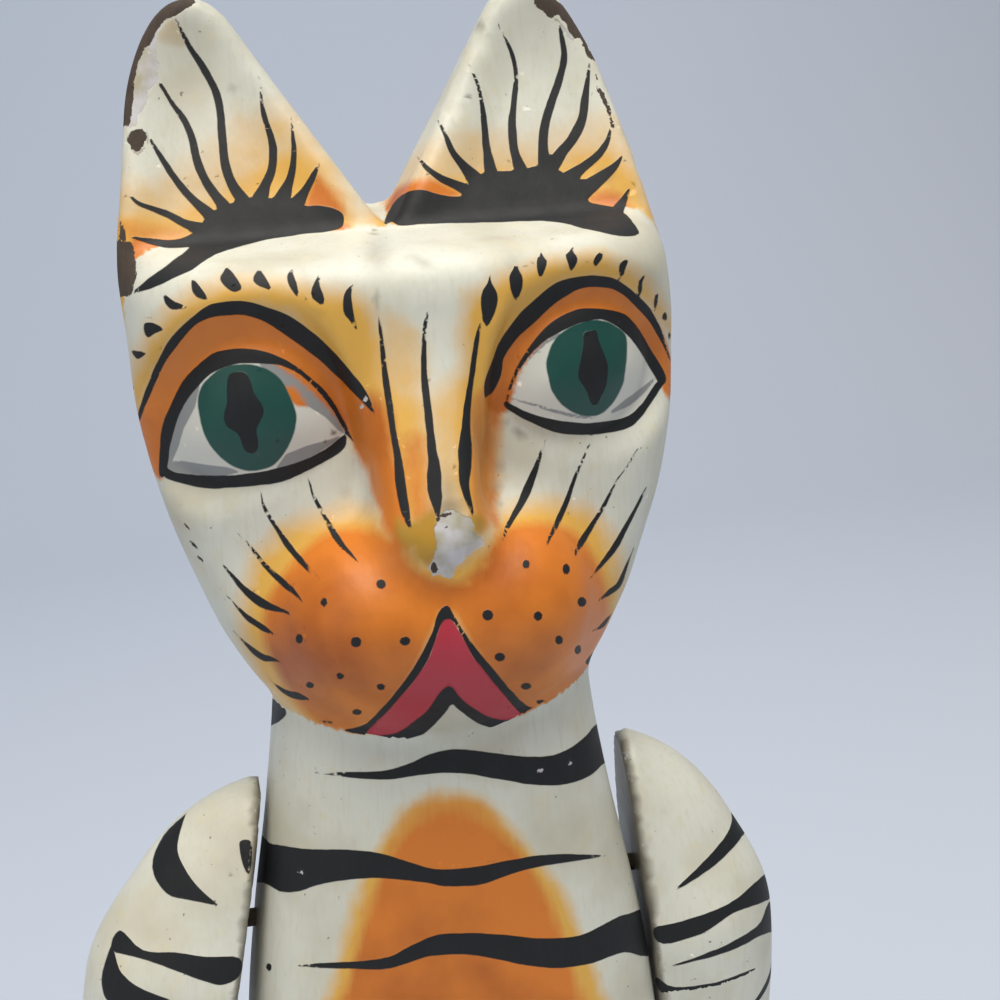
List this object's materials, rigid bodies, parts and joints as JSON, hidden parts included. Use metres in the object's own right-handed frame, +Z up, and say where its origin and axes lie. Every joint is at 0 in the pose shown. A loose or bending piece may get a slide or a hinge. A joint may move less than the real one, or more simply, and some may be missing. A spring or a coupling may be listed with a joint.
{
  "type": "wooden cat figurine",
  "caption": "Tall carved and painted wooden cat with large pointed ears, tiger stripes and separate pinned arms, standing upright on a low base.",
  "frame": {"origin": "centre of the base's underside", "axes": "+Z up, the cat faces -Y, +X to the viewer's right"},
  "size_m": [0.1748, 0.126, 0.4542],
  "materials": {
    "painted_wood": "aged satin paint, cream with blue-black stripes and orange washes",
    "peg_wood": "bare dark wood"
  },
  "bodies": {
    "root": {"body": "painted_wood", "left_arm": "painted_wood", "right_arm": "painted_wood", "left_shoulder_pin": "peg_wood", "right_shoulder_pin": "peg_wood"}
  },
  "joints": []
}
